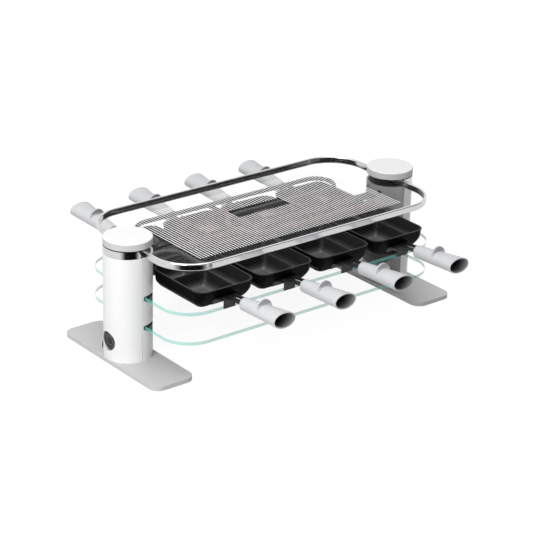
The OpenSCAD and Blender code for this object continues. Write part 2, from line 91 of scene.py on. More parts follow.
class RacletteColours(bpy.types.PropertyGroup):
    white_shell: colour("White shell", "Glossy moulded plastic of the columns and caps", "f2f2f2")
    grey_paint: colour("Grey paint", "Paint on the foot plates", "cbcbcc")
    # Painted shade: the right column's inner shell is the white plastic of the left one, greyed for
    # the shade it stands in
    painted_shade_shell: colour("Grey shell", "Inner half shell of the right column", "989899")
    black_core: colour("Black core", "Heat resistant plastic inside a column", "131314")
    chrome: colour("Chrome", "Polished plating of the band and the trim rings", "d9d9da")
    glass_face: colour("Glass face", "Tint of a glass plate seen through its face", "e9f1ef")
    glass_edge: colour("Glass edge", "Tint of a shelf seen through its edge", "68cfbf")
    plate_edge: colour("Plate edge", "Tint of the cooking plate seen through its edge", "1c2a28")
    print_white: colour("Print", "Fired enamel of the printed lines", "fdfdfc")
    element: colour("Element", "Heat tinted steel of the element", "5a5857")
    rail: colour("Rail", "Heat darkened steel of rail and crossbars", "242322")
    zinc: colour("Zinc", "Plating of screws and terminals", "9fa0a2")
    cap_side: colour("Cap side", "Satin side of the caps", "cacacb")
    non_stick: colour("Non-stick", "Coating inside the pans", "1a1a1b")
    # Painted sheen: a lighter grey for the light that the pans' floors reflect
    floor_sheen: colour("Pan floor", "Smoothed coating on the floors of the pans", "626264")
    lacquer: colour("Lacquer", "Lacquer on the outside of the pans", "0a0a0b")
    # Partly the coating rubbed thin, partly a painted glint along the rim and ridge tops
    rubbed: colour("Rubbed rim", "Coating rubbed thin along rims and ridges", "414143")
    bracket: colour("Bracket", "Coating of the pan brackets", "1d1d1e")
    handle: colour("Handle", "Satin plastic of the pan handles", "cecfd1")
    # Painted shade on the faces of a handle's finger guard
    guard: colour("Guard", "Grey of a handle's finger guard", "a6a6aa")
    # Painted shade inside a hollow handle, mid grey at its mouth and near black deeper in
    bore: colour("Bore", "Inside of a hollow handle near its mouth", "929295")
    deep_bore: colour("Deep bore", "Inside of a hollow handle far from its mouth", "1f1f20")
    switch: colour("Switch", "Black plastic of the switch", "0e0e0f")
    groove: colour("Groove", "Light that the switch's turned grooves catch", "77777a")
    pad: colour("Pads", "Rubber under the foot plates", "2c2c2c")
    grommet: colour("Grommet", "Rubber of the cord's grommet", "1c1c1c")
    ivory: colour("Ivory", "Terminal block and fuse", "d8d0b4")
    sleeve: colour("Sleeve", "Silicone sleeve of the wires", "7d2f28")
    floor: colour("Floor", "Floor under the grill", "fafafa")


class RaclettePrint(bpy.types.PropertyGroup):
    pitch: length("Pitch", "Distance between two printed lines", 4.8)
    line: length("Line width", "Width of a printed line", 1.5)
    film: length("Film", "Thickness of the fired enamel", 0.04)
    half_span: length("Half span", "Distance from the middle to the outermost line", 178)
    half_depth: length("Half depth", "Distance from the middle to a line's end", 88)
    window_half: length("Window half width", "Half the width of the clear window", 46)
    window_front: length("Window front", "Front edge of the clear window", 0)
    window_back: length("Window back", "Back edge of the clear window", 27)


class RaclettePan(bpy.types.PropertyGroup):
    pan_pitch: length("Pitch", "Distance between two neighbouring pans", 103)
    half_width: length("Half width", "Half a pan's width over its lip", 48)
    half_length: length("Half length", "Half a pan's length over its lip", 57.5)
    height: length("Height", "Height of a pan", 27)
    lean: length("Lean", "Distance by which a wall leans outwards", 10.5)
    bulge: length("End bulge", "Distance by which an end wall swells between foot and lip", 1.7)
    side_bulge: length("Side bulge", "Distance by which a side wall swells", 7)
    bowl: length("Bowl", "Distance over which a compartment's wall runs out into its floor", 14)
    foot_round: length("Foot round", "Radius where the wall turns into the bottom", 2.5)
    foot_corner: length("Foot corner", "Corner radius of the bottom", 7)
    lip_corner: length("Lip corner", "Corner radius over the lip", 16)
    lip: length("Lip", "Width of the lip", 2)
    lip_thickness: length("Lip thickness", "Thickness of the lip", 1.6)
    wall: length("Wall", "Thickness of wall and bottom", 1.8)
    floor: length("Floor", "Height of the floor inside a pan", 7)
    ridge_drop: length("Ridge drop", "Depth of the ridges under the rim", 2)
    ridge: length("Ridge", "Width of a ridge at its top", 1.6)
    ridge_x: length("Long ridge", "Place of the ridge along the pan", 12)
    ridge_y: length("Cross ridge", "Place of the ridge across the pan", 10)
    handle_near: length("Handle start", "Distance of a handle's inner end from the middle", 153.2)
    handle_l: length("Handle length", "Length of a handle along its axis", 85)
    handle_near_r: length("Handle radius", "Radius of a handle at its inner end", 9.2)
    mouth_half_w: length("Mouth half width", "Half the width of a handle's mouth", 18.3)
    mouth_half_h: length("Mouth half height", "Half the height of a handle's mouth", 10.9)
    handle_wall: length("Handle wall", "Wall of a hollow handle", 2)
    neck_solid: length("Solid neck", "Length over which a handle is solid", 20)
    handle_z: length("Handle height", "Height of a handle's axis at its inner end", 116.4)
    handle_tilt: bpy.props.FloatProperty(name="Handle tilt", description="Rise of a handle's axis",
                                         default=math.radians(5.4), subtype="ANGLE")
    guard_along: length("Guard", "Distance of the finger guard along the handle", 41)
    guard_t: length("Guard thickness", "Thickness of the finger guard", 3)
    guard_r: length("Guard radius", "Radius of the finger guard", 12)
    guard_lift: length("Guard lift", "Height of the guard's centre above the axis", 6)


class RacletteBand(bpy.types.PropertyGroup):
    half_l: length("Half length", "Half the band's length over its outer faces", 233.5)
    half_w: length("Half width", "Half the band's width over its outer faces", 117.5)
    corner: length("Corner", "Outer corner radius of the band", 58)
    bar_t: length("Bar thickness", "Thickness of the bar that the band is bent from", 4)
    edge_r: length("Edge radius", "Rounding of the bar's edges", 1.6)
    flat_edge: length("Flat edge", "Strip beside a rounding that keeps a face's shading flat", 0.2)


class RacletteStage(bpy.types.PropertyGroup):
    lens: bpy.props.FloatProperty(name="Lens", description="Focal length for a 36 mm sensor",
                                  default=132.51, subtype="DISTANCE_CAMERA")
    yaw: bpy.props.FloatProperty(name="Yaw", description="Turn of the camera from +Y towards +X",
                                 default=math.radians(38.996), subtype="ANGLE")
    pitch: bpy.props.FloatProperty(name="Pitch", description="Downward tilt of the camera",
                                   default=math.radians(23.276), subtype="ANGLE")
    roll: bpy.props.FloatProperty(name="Roll", description="Turn of the camera about its own axis",
                                  default=math.radians(-1.518), subtype="ANGLE")
    place: bpy.props.FloatVectorProperty(name="Camera", description="Place of the camera",
                                         default=(-1.617096, -2.003901, 1.185513),
                                         subtype="TRANSLATION", unit="LENGTH", precision=5)
    key: bpy.props.FloatProperty(name="Key light", description="Power of the lamp at the left",
                                 default=15, subtype="POWER", unit="POWER")
    top: bpy.props.FloatProperty(name="Top light", description="Power of the lamp overhead",
                                 default=13, subtype="POWER", unit="POWER")
    sky: bpy.props.FloatProperty(name="Sky", description="Strength of the light from all round",
                                 default=0.32, min=0, max=2)
    card_x: length("Card X", "Middle of the dark card that the chrome mirrors", -400)
    card_y: length("Card Y", "Middle of the dark card that the chrome mirrors", -430)
    card_half_l: length("Card half length", "Half the length of the dark card", 330)
    card_half_w: length("Card half width", "Half the width of the dark card", 230)
    card_turn: bpy.props.FloatProperty(name="Card turn", description="Turn of the dark card",
                                       default=math.radians(-34), subtype="ANGLE")


# Materials

def add(tree, kind, *given, **settings):
    """Adds a node with its settings and fills its inputs, given in order or as one dict by name:
    each is a plain value, an output, or a node that stands for its first output. An input that
    joins several links has a list of them."""
    made = tree.nodes.new(kind)
    for name, value in settings.items():
        setattr(made, name, value)
    shown = [place for place, socket in enumerate(made.inputs) if socket.enabled]
    by_name = given and isinstance(given[0], dict)
    for key, value in (given[0] if by_name else dict(zip(shown, given))).items():
        socket = made.inputs[key]
        for source in value if socket.is_multi_input else [value]:
            if isinstance(source, bpy.types.Node):
                source = next(output for output in source.outputs if output.enabled)
            if isinstance(source, bpy.types.NodeSocket):
                tree.links.new(source, socket)
            else:
                socket.default_value = (*source, 1) if socket.type == "RGBA" else source
    return made


def begun(name):
    """Starts a material: itself, its tree and the object's own coordinates."""
    made = bpy.data.materials.new(name)
    made.use_nodes = True
    made.node_tree.nodes.clear()
    return made, made.node_tree, add(made.node_tree, COORDINATES).outputs["Object"]


def finished(made, base, inputs):
    """Ends a material with its main shader, whose inputs are plain values or nodes."""
    made.diffuse_color = (*base, 1)
    shader = add(made.node_tree, "ShaderNodeBsdfPrincipled", inputs)
    add(made.node_tree, "ShaderNodeOutputMaterial", shader)
    return made


def speckle(tree, where, grain_mm, detail=2.0, stretch=(1, 1, 1)):
    """Noise whose grain has a real size."""
    place = add(tree, MAPPING, {"Vector": where, "Scale": stretch})
    return add(tree, "ShaderNodeTexNoise", {"Vector": place, "Scale": 1 / (grain_mm * MM),
                                            "Detail": detail})


def tone(tree, share, base, depth):
    """The base colour, from a little darker to a little lighter along share."""
    dark, pale = ([min(c * k, 1) for c in base] for k in (1 - depth, 1 + depth))
    return add(tree, MIX, share, dark, pale, data_type="RGBA")


def facing(tree, low, high):
    """Share from 0 to 1 as the surface turns up and its normal's height rises from low to high."""
    normal = add(tree, COORDINATES).outputs["Normal"]
    return add(tree, RANGE, add(tree, SPLIT, normal).outputs["Z"], low, high)


def background_share(tree):
    """Share of a ray that shows the background: straight, in a reflection or through glass."""
    path = add(tree, "ShaderNodeLightPath").outputs
    bent = add(tree, MATHS, path["Is Glossy Ray"], path["Is Transmission Ray"],
               operation="MAXIMUM")
    return add(tree, MATHS, path["Is Camera Ray"], bent, operation="MAXIMUM")


def moulded_abs(name, base):
    """Glossy ABS, injection moulded: clear reflections over a faint orange peel."""
    made, tree, where = begun(name)
    peel = speckle(tree, where, 6)
    return finished(made, base, {
        "Base Color": tone(tree, peel, base, 0.012),
        "Roughness": add(tree, RANGE, peel, *NOISE_SPAN, 0.19, 0.26),
        "Normal": add(tree, BUMP, {"Height": peel, "Distance": 0.02 * MM, "Strength": 0.3})})


def cap_finish(name, base, side):
    """Cap of the same glossy ABS, with its side in a satin grey paint."""
    made, tree, where = begun(name)
    upper = facing(tree, 0.4, 0.6)
    gloss = tone(tree, speckle(tree, where, 6), base, 0.012)
    return finished(made, base, {
        "Base Color": add(tree, MIX, upper, side, gloss, data_type="RGBA"),
        "Roughness": add(tree, RANGE, upper, 0, 1, 0.38, 0.22)})


def powder_paint(name, base):
    """Powder coated steel: satin, with the fine pebble of fused powder."""
    made, tree, where = begun(name)
    pebble = speckle(tree, where, 1.2)
    return finished(made, base, {
        "Base Color": tone(tree, speckle(tree, where, 22), base, 0.02),
        "Roughness": add(tree, RANGE, pebble, *NOISE_SPAN, 0.36, 0.5),
        "Normal": add(tree, BUMP, {"Height": pebble, "Distance": 0.05 * MM, "Strength": 0.35})})


def moulded_rubber(name, base):
    """Moulded rubber: matt and slightly dusty."""
    made, tree, where = begun(name)
    dust = speckle(tree, where, 2.5)
    return finished(made, base, {
        "Base Color": tone(tree, dust, base, 0.2), "Roughness": 0.85,
        "Normal": add(tree, BUMP, {"Height": dust, "Distance": 0.08 * MM, "Strength": 0.4})})


def switch_finish(name, base, groove, axis_z):
    """Black switch moulding with turned grooves round its axis that catch the light."""
    made, tree, where = begun(name)
    radii_mm, half_width_mm = (12.4, 9.4, 6.4), 0.4
    from_axis = add(tree, MAPPING, {"Vector": where, "Location": (0, 0, -axis_z),
                                    "Scale": (0, 1, 1)})
    away = add(tree, "ShaderNodeVectorMath", from_axis, operation="LENGTH")
    lit = 0.0
    for radius_mm in radii_mm:
        ring = add(tree, MATHS, away, radius_mm * MM, half_width_mm * MM, operation="COMPARE")
        lit = add(tree, MATHS, lit, ring, operation="MAXIMUM")
    body = tone(tree, speckle(tree, where, 3), base, 0.15)
    return finished(made, base, {
        "Base Color": add(tree, MIX, lit, body, groove, data_type="RGBA"),
        "Roughness": 0.4, "Specular IOR Level": 0.2})


def phenolic(name, base):
    """Phenolic moulding: near black, with a low sheen and a faint flow mottle."""
    made, tree, where = begun(name)
    mottle, pores = speckle(tree, where, 5), speckle(tree, where, 0.8)
    return finished(made, base, {
        "Base Color": tone(tree, mottle, base, 0.18),
        "Roughness": add(tree, RANGE, mottle, *NOISE_SPAN, 0.42, 0.58),
        "Normal": add(tree, BUMP, {"Height": pores, "Distance": 0.03 * MM, "Strength": 0.3})})


def chrome_plate(name, base):
    """Chrome plate on drawn steel bar: mirror bright, with faint marks along the bar."""
    made, tree, where = begun(name)
    marks = speckle(tree, where, 3, stretch=(0.15, 0.15, 4))
    return finished(made, base, {
        "Base Color": tone(tree, marks, base, 0.015), "Metallic": 1.0,
        "Roughness": add(tree, RANGE, marks, *NOISE_SPAN, 0.09, 0.14)})


def sheet_glass(name, face, edge, edge_cover):
    """Toughened float glass: clear through its faces, tinted and denser through its ground edge."""
    made, tree, where = begun(name)
    normal = add(tree, COORDINATES).outputs["Normal"]
    level = add(tree, MATHS, add(tree, SPLIT, normal).outputs["Z"], operation="ABSOLUTE")
    face_level, edge_level, face_cover, shift = 0.95, 0.8, 0.015, 0.03
    at_edge = add(tree, RANGE, level, face_level, edge_level)
    ground = tone(tree, speckle(tree, where, 30), [c * (1 + shift) for c in edge], shift)
    return finished(made, face, {
        "Base Color": add(tree, MIX, at_edge, face, ground, data_type="RGBA"),
        "Alpha": add(tree, RANGE, at_edge, 0, 1, face_cover, edge_cover),
        "Roughness": add(tree, RANGE, at_edge, 0, 1, 0.04, 0.22), "IOR": 1.5})


def fired_enamel(name, base):
    """Ceramic enamel, screen printed on glass and fired: satin and slightly grainy."""
    made, tree, where = begun(name)
    grain = speckle(tree, where, 0.7)
    return finished(made, base, {
        "Base Color": tone(tree, grain, base, 0.06),
        "Roughness": add(tree, RANGE, grain, *NOISE_SPAN, 0.3, 0.45)})


def heated_steel(name, base):
    """Stainless steel that has glowed: brown-grey oxide in clouds, satin."""
    made, tree, where = begun(name)
    clouds, scale = speckle(tree, where, 14, detail=4), speckle(tree, where, 0.9)
    return finished(made, base, {
        "Base Color": tone(tree, clouds, base, 0.3), "Metallic": 0.6,
        "Roughness": add(tree, RANGE, clouds, *NOISE_SPAN, 0.36, 0.56),
        "Normal": add(tree, BUMP, {"Height": scale, "Distance": 0.02 * MM, "Strength": 0.3})})


def zinc_plate(name, base):
    """Zinc plated steel: bright with small spangles."""
    made, tree, where = begun(name)
    spangle = speckle(tree, where, 2)
    return finished(made, base, {
        "Base Color": tone(tree, spangle, base, 0.1), "Metallic": 1.0,
        "Roughness": add(tree, RANGE, spangle, *NOISE_SPAN, 0.25, 0.42)})


def non_stick_coat(name, chosen, rim_z):
    """Cast aluminium pan: sprayed non-stick inside, with a painted sheen on its floors, dark lacquer
    outside, and its rim and ridge tops lighter, partly the coating rubbed thin and partly a painted
    glint."""
    made, tree, where = begun(name)
    # Depths under the rim at which the painted floor sheen and the lighter rim and ridge tops begin
    # and are whole
    sheen_begins, sheen_whole, rub_begins, rub_whole = (d * MM for d in (11, 19, 2.6, 1.8))
    height = add(tree, SPLIT, where).outputs["Z"]
    grain, inside = speckle(tree, where, 0.8), facing(tree, 0.05, 0.2)
    deep = add(tree, RANGE, height, rim_z - sheen_begins, rim_z - sheen_whole)
    # Painted sheen: the deep, up-facing floors take a lighter grey for the light they reflect
    floor = add(tree, MATHS, deep, facing(tree, 0.3, 0.9), operation="MULTIPLY")
    # Rim and ridge tops lighter: partly the coating rubbed thin, partly a painted glint
    high = add(tree, RANGE, height, rim_z - rub_begins, rim_z - rub_whole)
    edges = add(tree, MATHS, high, facing(tree, 0.55, 0.9), operation="MULTIPLY")
    patches = add(tree, RANGE, speckle(tree, where, 7), *NOISE_SPAN, 0.5, 1.0)
    worn = add(tree, MATHS, edges, patches, operation="MULTIPLY")
    # Painted sheen colour of the floors
    painted_sheen = tone(tree, speckle(tree, where, 9), chosen.floor_sheen, 0.12)
    pocket = add(tree, MIX, floor, chosen.non_stick, painted_sheen, data_type="RGBA")
    coat = add(tree, MIX, inside, chosen.lacquer, pocket, data_type="RGBA")
    spray = add(tree, MATHS, inside, add(tree, RANGE, grain, *NOISE_SPAN, 0.85, 1.0),
                operation="MULTIPLY")
    inside_sheen, floor_sheen = 0.2, 0.65
    sheen = add(tree, MATHS, floor, floor_sheen,
                add(tree, MATHS, inside, inside_sheen, operation="MULTIPLY"),
                operation="MULTIPLY_ADD")
    return finished(made, chosen.non_stick, {
        "Base Color": add(tree, MIX, worn, coat, chosen.rubbed, data_type="RGBA"),
        "Roughness": add(tree, RANGE, spray, 0, 1, 0.4, 0.36),
        "Specular IOR Level": add(tree, RANGE, sheen, 0, 1, 0.03, 0.9),
        "Normal": add(tree, BUMP, {"Height": grain, "Distance": 0.02 * MM, "Strength": 0.25})})


def satin_finish(made, tree, where, base, body):
    """Ends a satin thermoset of any colour: even, with a very fine spark-eroded grain."""
    grain = speckle(tree, where, 0.9)
    return finished(made, base, {
        "Base Color": body,
        "Roughness": add(tree, RANGE, grain, *NOISE_SPAN, 0.36, 0.45),
        "Normal": add(tree, BUMP, {"Height": grain, "Distance": 0.015 * MM, "Strength": 0.25})})


def satin_plastic(name, base):
    """Satin thermoset in one colour."""
    made, tree, where = begun(name)
    return satin_finish(made, tree, where, base, tone(tree, speckle(tree, where, 12), base, 0.012))


def handle_plastic(name, chosen, sizes):
    """Satin thermoset handle, with painted shade on the faces of its finger guard and inside its
    hollow.
    """
    made, tree, where = begun(name)
    x, y, z = add(tree, SPLIT, where).outputs
    in_pitch = add(tree, MATHS, x, sizes.pan_pitch, operation="FLOORED_MODULO")
    beside = add(tree, MATHS, in_pitch, sizes.pan_pitch / 2, operation="SUBTRACT")
    outward = add(tree, MATHS, y, operation="ABSOLUTE")
    on_axis = add(tree, MAPPING, {
        "Vector": add(tree, JOIN, beside, outward, z),
        "Location": (0, sizes.handle_near, sizes.handle_z),
        "Rotation": (sizes.handle_tilt, 0, 0)}, vector_type="TEXTURE")
    aside, along, above = add(tree, SPLIT, on_axis).outputs
    normal = add(tree, COORDINATES).outputs["Normal"]
    normal_x, _, normal_z = add(tree, SPLIT, normal).outputs
    sideways = add(tree, MATHS, aside, normal_x, operation="MULTIPLY")
    # Distance from the axis, negative where the surface looks back at it, as inside the hollow
    away = add(tree, MATHS, above, normal_z, sideways, operation="MULTIPLY_ADD")
    # Painted shade inside the hollow: mid grey near the mouth, darker deeper in
    bore_shade_begins, bore_shade_whole, lit_depth = -0.8 * MM, -2.4 * MM, 24 * MM
    within = add(tree, RANGE, away, bore_shade_begins, bore_shade_whole)
    depth = add(tree, RANGE, along, sizes.handle_l, sizes.handle_l - lit_depth)
    # Painted shade: both faces of the finger guard, where they stand above the body, are greyed
    past = add(tree, MATHS, along, sizes.guard_along + sizes.guard_t / 2, operation="SUBTRACT")
    from_guard = add(tree, MATHS, past, operation="ABSOLUTE")
    face_at, face_reach = 0.48 * sizes.guard_t, 0.12 * sizes.guard_t
    at_face = add(tree, MATHS, from_guard, face_at, face_reach, operation="COMPARE")
    raised = add(tree, MATHS, above, sizes.mouth_half_h, operation="GREATER_THAN")
    guard = add(tree, MATHS, at_face, raised, operation="MULTIPLY")
    body = tone(tree, speckle(tree, where, 12), chosen.handle, 0.012)
    outside = add(tree, MIX, guard, body, chosen.guard, data_type="RGBA")
    bore_shade = add(tree, MIX, depth, chosen.bore, chosen.deep_bore, data_type="RGBA")
    whole = add(tree, MIX, within, outside, bore_shade, data_type="RGBA")
    return satin_finish(made, tree, where, chosen.handle, whole)


# Meshes

def dress(material, *names):
    """Gives CAD nodes their material."""
    for name in names:
        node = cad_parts[name]
        node.data.materials.clear()
        node.data.materials.append(material)


def pan_names(part):
    """Names of the nodes of one part, pan by pan."""
    return [f"pan_{part}_{i}" for i in range(1, PAN_COUNT + 1)]


def grown(name, tree, values, body):
    """Runs a Geometry Nodes tree on an empty mesh and keeps the result as a plain piece."""
    seed = bpy.data.objects.new(name + "_seed", bpy.data.meshes.new(name + "_seed"))
    bpy.context.scene.collection.objects.link(seed)
    modifier = seed.modifiers.new("grow", "NODES")
    modifier.node_group = tree
    for identifier, value in values.items():
        modifier[identifier] = value
    bpy.context.view_layer.update()
    shown = seed.evaluated_get(bpy.context.evaluated_depsgraph_get())
    mesh = bpy.data.meshes.new_from_object(shown)
    seed.modifiers.remove(modifier)
    bpy.data.objects.remove(seed)
    mesh.name = name
    piece = bpy.data.objects.new(name, mesh)
    bpy.context.scene.collection.objects.link(piece)
    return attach(piece, body)


def print_tree(material):
    """Tree of parallel printed lines along Y, left out over a clear window, and the identifiers
    of its inputs."""
    tree = bpy.data.node_groups.new("printed_lines", "GeometryNodeTree")
    tree.interface.new_socket("Geometry", in_out="OUTPUT", socket_type="NodeSocketGeometry")
    keys = {}
    for name in ("Pitch", "Line width", "Film", "Half span", "Half depth", "Window half width",
                 "Window front", "Window back", "Glass top"):
        socket = tree.interface.new_socket(name, in_out="INPUT", socket_type="NodeSocketFloat")
        keys[name] = socket.identifier
    sizes = add(tree, "NodeGroupInput").outputs
    pitch, back = sizes["Pitch"], sizes["Half depth"]
    steps = add(tree, MATHS, add(tree, MATHS, sizes["Half span"], pitch, operation="DIVIDE"),
                operation="FLOOR")
    reach = add(tree, MATHS, steps, pitch, operation="MULTIPLY")
    start = add(tree, MATHS, reach, -1, operation="MULTIPLY")
    line = add(tree, "GeometryNodeMeshLine", {
        "Count": add(tree, MATHS, steps, 2, 1, operation="MULTIPLY_ADD"),
        "Start Location": add(tree, JOIN, start, 0, sizes["Glass top"]),
        "Offset": add(tree, JOIN, pitch)})
    across = add(tree, SPLIT, add(tree, "GeometryNodeInputPosition")).outputs["X"]
    outside = add(tree, MATHS, add(tree, MATHS, across, operation="ABSOLUTE"),
                  sizes["Window half width"], operation="GREATER_THAN")
    inside = add(tree, MATHS, 1, outside, operation="SUBTRACT")
    front = add(tree, MATHS, back, -1, operation="MULTIPLY")
    lift = add(tree, MATHS, sizes["Film"], 0.5, operation="MULTIPLY")
    runs = []
    for chosen, low, high in ((outside, front, back), (inside, front, sizes["Window front"]),
                              (inside, sizes["Window back"], back)):
        run = add(tree, MATHS, high, low, operation="SUBTRACT")
        middle = add(tree, MATHS, add(tree, MATHS, low, high, operation="ADD"), 0.5,
                     operation="MULTIPLY")
        bar = add(tree, "GeometryNodeMeshCube",
                  add(tree, JOIN, sizes["Line width"], run, sizes["Film"]))
        moved = add(tree, "GeometryNodeTransform", bar, add(tree, JOIN, 0, middle, lift))
        runs.append(add(tree, "GeometryNodeInstanceOnPoints", line, chosen, moved))
    together = add(tree, "GeometryNodeJoinGeometry", runs)
    real = add(tree, "GeometryNodeRealizeInstances", together)
    coated = add(tree, "GeometryNodeSetMaterial", {"Geometry": real, "Material": material})
    add(tree, "NodeGroupOutput", coated)
    return tree, keys


class PanShape:
    """Mesh of one pan: a grid over the pockets, and rings from the rim round the lip to the foot."""

    CORNER, ACROSS, ALONG = 8, 62, 76

    def __init__(self, sizes):
        self.s = sizes

    def plan(self, i, j, half_x, half_y, radius):
        """Place of grid point i, j when the grid's edge is a rounded rectangle."""
        x, p = self.zone(i, self.ACROSS, half_x, radius)
        y, q = self.zone(j, self.ALONG, half_y, radius)
        turned = p * math.sqrt(1 - q * q / 2), q * math.sqrt(1 - p * p / 2)
        return x + radius * turned[0], y + radius * turned[1]

    def zone(self, k, straight, half, radius):
        """Nearest point of the straight stretch, and the share of the corner beyond it."""
        flat = half - radius
        if k < self.CORNER:
            return -flat, k / self.CORNER - 1
        if k > self.CORNER + straight:
            return flat, (k - self.CORNER - straight) / self.CORNER
        return flat * (2 * (k - self.CORNER) / straight - 1), 0.0

    def rise(self, away):
        """Share of its height that a wall still has at a distance, as in a bowl."""
        return min(max(1 - away / self.s.bowl, 0.0), 1.0) ** 2

    def height_at(self, x, y, rim_x, rim_y, rim_r):
        """Height of the inside: rim walls and ridges, run together smoothly."""
        s = self.s
        out_x, out_y = abs(x) - (rim_x - rim_r), abs(y) - (rim_y - rim_r)
        beyond = math.hypot(max(out_x, 0), max(out_y, 0))
        to_rim = rim_r - (beyond if beyond > 0 else max(out_x, out_y))
        long = self.rise(abs(x - s.ridge_x) - s.ridge / 2)
        cross = self.rise(abs(y - s.ridge_y) - s.ridge / 2) if x < s.ridge_x else 0.0
        ridges = (1 - (1 - long) * (1 - cross)) * (1 - s.ridge_drop / (s.height - s.floor))
        return s.height - (s.height - s.floor) * (1 - self.rise(to_rim)) * (1 - ridges)

    def rings(self):
        """Half sizes, corner radius and height of each ring, from the rim round to the bottom."""
        s = self.s
        lip_x, lip_y, top = s.half_width, s.half_length, s.height
        soft, steps, fullness = 0.5 * MM, 14, 0.6
        widest = lip_x - 0.5 * s.lip
        made = [(lip_x - soft, lip_y - soft, s.lip_corner - soft, top),
                (lip_x, lip_y, s.lip_corner, top - soft),
                (lip_x, lip_y, s.lip_corner, top - s.lip_thickness + soft),
                (lip_x - soft, lip_y - soft, s.lip_corner - soft, top - s.lip_thickness)]
        start = top - s.lip_thickness
        for k in range(steps + 1):
            z = start * (1 - k / steps)
            share = 1 - z / top
            inward, swell = s.lip + s.lean * share, math.sin(math.pi * share) ** fullness
            if z < s.foot_round:
                inward += s.foot_round - math.sqrt(s.foot_round ** 2 - (s.foot_round - z) ** 2)
            corner = s.lip_corner - s.lip + (s.foot_corner - s.lip_corner + s.lip) * share
            half_x = min(lip_x - inward + s.side_bulge * swell, widest)
            made.append((half_x, lip_y - inward + s.bulge * swell, corner, z))
        return made

    def build(self):
        """Points and faces of the pan, about the middle of its foot."""
        s = self.s
        columns, rows = 2 * self.CORNER + self.ACROSS, 2 * self.CORNER + self.ALONG
        inward = 0.2 * s.wall
        rim = s.lip + inward
        rim_x, rim_y, rim_r = s.half_width - rim, s.half_length - rim, s.lip_corner - rim

        def at(i, j):
            """Number of grid point i, j."""
            return j * (columns + 1) + i

        points, faces = [], []
        for j in range(rows + 1):
            for i in range(columns + 1):
                x, y = self.plan(i, j, rim_x, rim_y, rim_r)
                points.append((x, y, self.height_at(x, y, rim_x, rim_y, rim_r)))
        for j in range(rows):
            for i in range(columns):
                faces.append((at(i, j), at(i + 1, j), at(i + 1, j + 1), at(i, j + 1)))
        edge = ([(i, 0) for i in range(columns)] + [(columns, j) for j in range(rows)]
                + [(i, rows) for i in range(columns, 0, -1)] + [(0, j) for j in range(rows, 0, -1)])
        before = [at(i, j) for i, j in edge]
        for half_x, half_y, radius, z in self.rings():
            ring = list(range(len(points), len(points) + len(edge)))
            points += [(*self.plan(i, j, half_x, half_y, radius), z) for i, j in edge]
            for k in range(len(edge)):
                after = (k + 1) % len(edge)
                faces.append((before[after], before[k], ring[k], ring[after]))
            before = ring
        faces.append(tuple(reversed(before)))
        return points, faces


def pan_place(i, sizes):
    """Turns and moves pan i from the middle to its place on the shelf."""
    in_row = PAN_COUNT // 2
    place = (i - 1) % in_row - (in_row - 1) / 2
    low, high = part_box(f"pan_dish_{i}")
    middle = Vector((place * sizes.pan_pitch, (low.y + high.y) / 2, low.z))
    turn = Matrix.Rotation(math.pi if i > in_row else 0, 4, "Z")
    return Matrix.Translation(middle) @ turn


def tube(rings, closed=False):
    """Joins rings of points, each as long as the last, into a skin; ends are filled if open."""
    points = [point for ring in rings for point in ring]
    size, faces = len(rings[0]), []
    for k in range(len(rings) if closed else len(rings) - 1):
        here, there = k * size, (k + 1) % len(rings) * size
        for i in range(size):
            j = (i + 1) % size
            faces.append((here + i, here + j, there + j, there + i))
    if not closed:
        faces.append(tuple(reversed(range(size))))
        faces.append(tuple(range(len(points) - size, len(points))))
    return points, faces


def handle_skin(s):
    """Skin of one handle: round neck, finger guard, oval mouth and the hollow inside it."""
    sides = 64
    turns = [2 * math.pi * k / sides for k in range(sides)]
    cosine, sine = math.cos(s.handle_tilt), math.sin(s.handle_tilt)

    def ring(t, inset=0.0, guard=0.0):
        """Oval at a distance along the axis, grown towards the guard's disc by a share."""
        share = t / s.handle_l
        wide = s.handle_near_r + (s.mouth_half_w - s.handle_near_r) * share - inset
        tall = s.handle_near_r + (s.mouth_half_h - s.handle_near_r) * share - inset
        made = []
        for a in turns:
            up, side = math.cos(a), math.sin(a)
            r = wide * tall / math.hypot(tall * side, wide * up)
            disc = s.guard_lift * up + math.sqrt(s.guard_r ** 2 - (s.guard_lift * side) ** 2)
            r += guard * max(disc - r, 0.0)
            made.append((r * side, -s.handle_near - t * cosine + r * up * sine,
                         s.handle_z + t * sine + r * up * cosine))
        return made

    start, end, soft = s.guard_along, s.guard_along + s.guard_t, 0.5 * MM
    mouth, neck_steps, body_steps, face_share = s.handle_l - soft, 8, 10, 0.96
    rings = [ring(0, 2 * soft), ring(0.6 * soft, 0.6 * soft), ring(2 * soft)]
    rings += [ring(start * k / neck_steps) for k in range(1, neck_steps + 1)]
    rings += [ring(start, 0, face_share), ring(start + soft, 0, 1), ring(end - soft, 0, 1),
              ring(end, 0, face_share), ring(end)]
    rings += [ring(end + (mouth - end) * k / body_steps) for k in range(1, body_steps + 1)]
    rings += [ring(s.handle_l, soft), ring(s.handle_l, s.handle_wall - soft)]
    rings += [ring(mouth - (mouth - s.neck_solid) * k / body_steps, s.handle_wall)
              for k in range(body_steps + 1)]
    return tube(rings)


